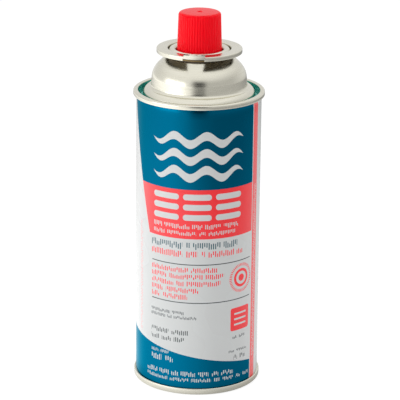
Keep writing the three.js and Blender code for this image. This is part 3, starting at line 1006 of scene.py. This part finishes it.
def makeSoftBox(name, turnDegrees, away, height, wide, high, radiance):
    # aimed at the canister's middle; of the boxes, only leftBox is mirrored in shiny surfaces
    turn = math.radians(turnDegrees)
    place = Vector((math.sin(turn) * away, -math.cos(turn) * away, height))
    data = bpy.data.lights.new(name, "AREA")
    data.shape = "RECTANGLE"
    data.size = wide
    data.size_y = high
    data.energy = radiance * math.pi * wide * high
    obj = bpy.data.objects.new(name, data)
    bpy.context.scene.collection.objects.link(obj)
    obj.location = place
    obj.rotation_euler = (Vector((0, 0, studio["aim"])) - place).to_track_quat("-Z", "Y").to_euler()
    obj.visible_camera = False
    obj.visible_glossy = name == "leftBox"


def seenDirectly(tree):
    # the camera, and shiny or clear surfaces, see the white studio itself
    path = addNode(tree, "ShaderNodeLightPath").outputs
    shiny = addNode(tree, "ShaderNodeMath", {
        0: path["Is Glossy Ray"], 1: path["Is Transmission Ray"]}, operation="MAXIMUM").outputs[0]
    return path["Is Camera Ray"], shiny


def towardsCamera(tree, direction):
    # 1 towards the dark end of the room, where the photographer stands, and 0 well to either side of it
    parts = addNode(tree, "ShaderNodeSeparateXYZ", {"Vector": direction}).outputs
    aside = addNode(tree, "ShaderNodeMath", {0: parts["X"]}, operation="ABSOLUTE")
    middle = addNode(tree, "ShaderNodeMapRange", {
        "Value": aside.outputs[0], **studio["darkAside"]}, interpolation_type="SMOOTHSTEP")
    ahead = addNode(tree, "ShaderNodeMapRange", {"Value": parts["Y"], **studio["darkAhead"]})
    return addNode(tree, "ShaderNodeMath", {
        0: middle.outputs[0], 1: ahead.outputs[0]}, operation="MULTIPLY")


def makeWorld():
    # white all round, dimmer to the right and dark at the end where the photographer stands
    world = bpy.data.worlds.new("studio")
    world.use_nodes = True
    tree = world.node_tree
    tree.nodes.clear()
    camera, shiny = seenDirectly(tree)
    direction = addNode(tree, "ShaderNodeTexCoord").outputs["Generated"]
    parts = addNode(tree, "ShaderNodeSeparateXYZ", {"Vector": direction}).outputs
    low = addNode(tree, "ShaderNodeMapRange", {"Value": parts["Z"], **studio["darkUp"]})
    front = addNode(tree, "ShaderNodeMath", {
        0: towardsCamera(tree, direction).outputs[0], 1: low.outputs[0]}, operation="MULTIPLY")
    dark = addNode(tree, "ShaderNodeMapRange", {"Value": front.outputs[0], **studio["darkEnd"]})
    side = addNode(tree, "ShaderNodeMapRange", {"Value": parts["X"], **studio["rightFade"]})
    back = addNode(tree, "ShaderNodeMapRange", {"Value": parts["Y"], **studio["backFade"]})
    room = addNode(tree, "ShaderNodeMath", {0: side.outputs[0], 1: dark.outputs[0]}, operation="MULTIPLY")
    around = addNode(tree, "ShaderNodeMix", {
        0: back.outputs[0], 2: room.outputs[0], 3: studio["backLevel"]})
    high = addNode(tree, "ShaderNodeMapRange", {"Value": parts["Z"], **studio["topFade"]})
    level = addNode(tree, "ShaderNodeMix", {
        0: high.outputs[0], 2: around.outputs[0], 3: studio["topLevel"]})
    soft = addNode(tree, "ShaderNodeBackground", {"Color": (1, 1, 1, 1), "Strength": studio["dayLevel"]})
    mirrored = addNode(tree, "ShaderNodeBackground", {"Color": (1, 1, 1, 1), "Strength": level.outputs[0]})
    white = addNode(tree, "ShaderNodeBackground", {"Color": (1, 1, 1, 1), "Strength": 1.0})
    mix = addNode(tree, "ShaderNodeMixShader", {0: shiny, 1: soft.outputs[0], 2: mirrored.outputs[0]})
    mix = addNode(tree, "ShaderNodeMixShader", {0: camera, 1: mix.outputs[0], 2: white.outputs[0]})
    addNode(tree, "ShaderNodeOutputWorld", {"Surface": mix.outputs[0]})
    bpy.context.scene.world = world


def makeFloor():
    # paper sweep: it takes the lamps' light and a soft shadow, and is white to the camera; to shiny
    # surfaces it glows with painted light: a painted pool of light to the left that fades with distance,
    # painted shade towards the camera and a painted contact shadow round the canister's foot
    startPiece("floor")
    bpy.ops.mesh.primitive_plane_add(size=paper["size"], location=(0, 0, -paper["drop"]))
    floor = bpy.context.object
    floor.name = "floor"
    material, tree = newMaterial("white paper sweep")
    camera, shiny = seenDirectly(tree)
    place = addNode(tree, "ShaderNodeTexCoord").outputs["Object"]
    # what shiny surfaces see of the paper is painted light, brighter towards the left and fading with
    # distance
    turn = math.radians(paper["paintedLightTurn"])
    towards = addNode(tree, "ShaderNodeVectorMath", {0: place}, operation="NORMALIZE")
    facing = addNode(tree, "ShaderNodeVectorMath", {
        0: towards.outputs[0], 1: (math.sin(turn), -math.cos(turn), 0.0)}, operation="DOT_PRODUCT")
    around = addNode(tree, "ShaderNodeMapRange", {"Value": facing.outputs["Value"], **paper["turnFade"]})
    reach = addNode(tree, "ShaderNodeVectorMath", {0: place}, operation="LENGTH").outputs["Value"]
    fade = addNode(tree, "ShaderNodeMapRange", {"Value": reach, **paper["nearFade"]})
    lift = addNode(tree, "ShaderNodeMapRange", {"Value": reach, **paper["farLift"]})
    far = addNode(tree, "ShaderNodeMath", {0: around.outputs[0], 1: fade.outputs[0]}, operation="SUBTRACT")
    far = addNode(tree, "ShaderNodeMath", {0: far.outputs[0], 1: lift.outputs[0]}, operation="ADD")
    away = addNode(tree, "ShaderNodeMapRange", {"Value": reach, **paper["darkFade"]})
    front = addNode(tree, "ShaderNodeMath", {
        0: towardsCamera(tree, towards.outputs[0]).outputs[0], 1: away.outputs[0]}, operation="MULTIPLY")
    dark = addNode(tree, "ShaderNodeMapRange", {"Value": front.outputs[0], **studio["darkEnd"]})
    far = addNode(tree, "ShaderNodeMath", {0: far.outputs[0], 1: dark.outputs[0]}, operation="MULTIPLY")
    # painted contact shadow round the canister's foot
    paintedContactShadow = addNode(tree, "ShaderNodeMapRange", {"Value": reach, **paper["paintedContactShadow"]})
    mirrored = addNode(tree, "ShaderNodeMath", {
        0: far.outputs[0], 1: paintedContactShadow.outputs[0]}, operation="MULTIPLY")
    plain = addNode(tree, "ShaderNodeBsdfDiffuse", {"Color": colour(paper["tone"])})
    dim = addNode(tree, "ShaderNodeBsdfDiffuse", {"Color": paper["dim"]})
    glow = addNode(tree, "ShaderNodeEmission", {"Color": (1, 1, 1, 1), "Strength": paper["glow"]})
    shine = addNode(tree, "ShaderNodeEmission", {"Color": (1, 1, 1, 1), "Strength": mirrored.outputs[0]})
    seen = addNode(tree, "ShaderNodeAddShader", {0: dim.outputs[0], 1: glow.outputs[0]})
    inMetal = addNode(tree, "ShaderNodeAddShader", {0: dim.outputs[0], 1: shine.outputs[0]})
    mix = addNode(tree, "ShaderNodeMixShader", {0: shiny, 1: plain.outputs[0], 2: inMetal.outputs[0]})
    mix = addNode(tree, "ShaderNodeMixShader", {0: camera, 1: mix.outputs[0], 2: seen.outputs[0]})
    addNode(tree, "ShaderNodeOutputMaterial", {"Surface": mix.outputs[0]})
    floor.data.materials.append(material)


makeCamera()
makeWorld()
makeFloor()
for box in softBoxes:
    makeSoftBox(*box)
bpy.context.scene.view_settings.view_transform = "Standard"
print("camera, floor and lights set")
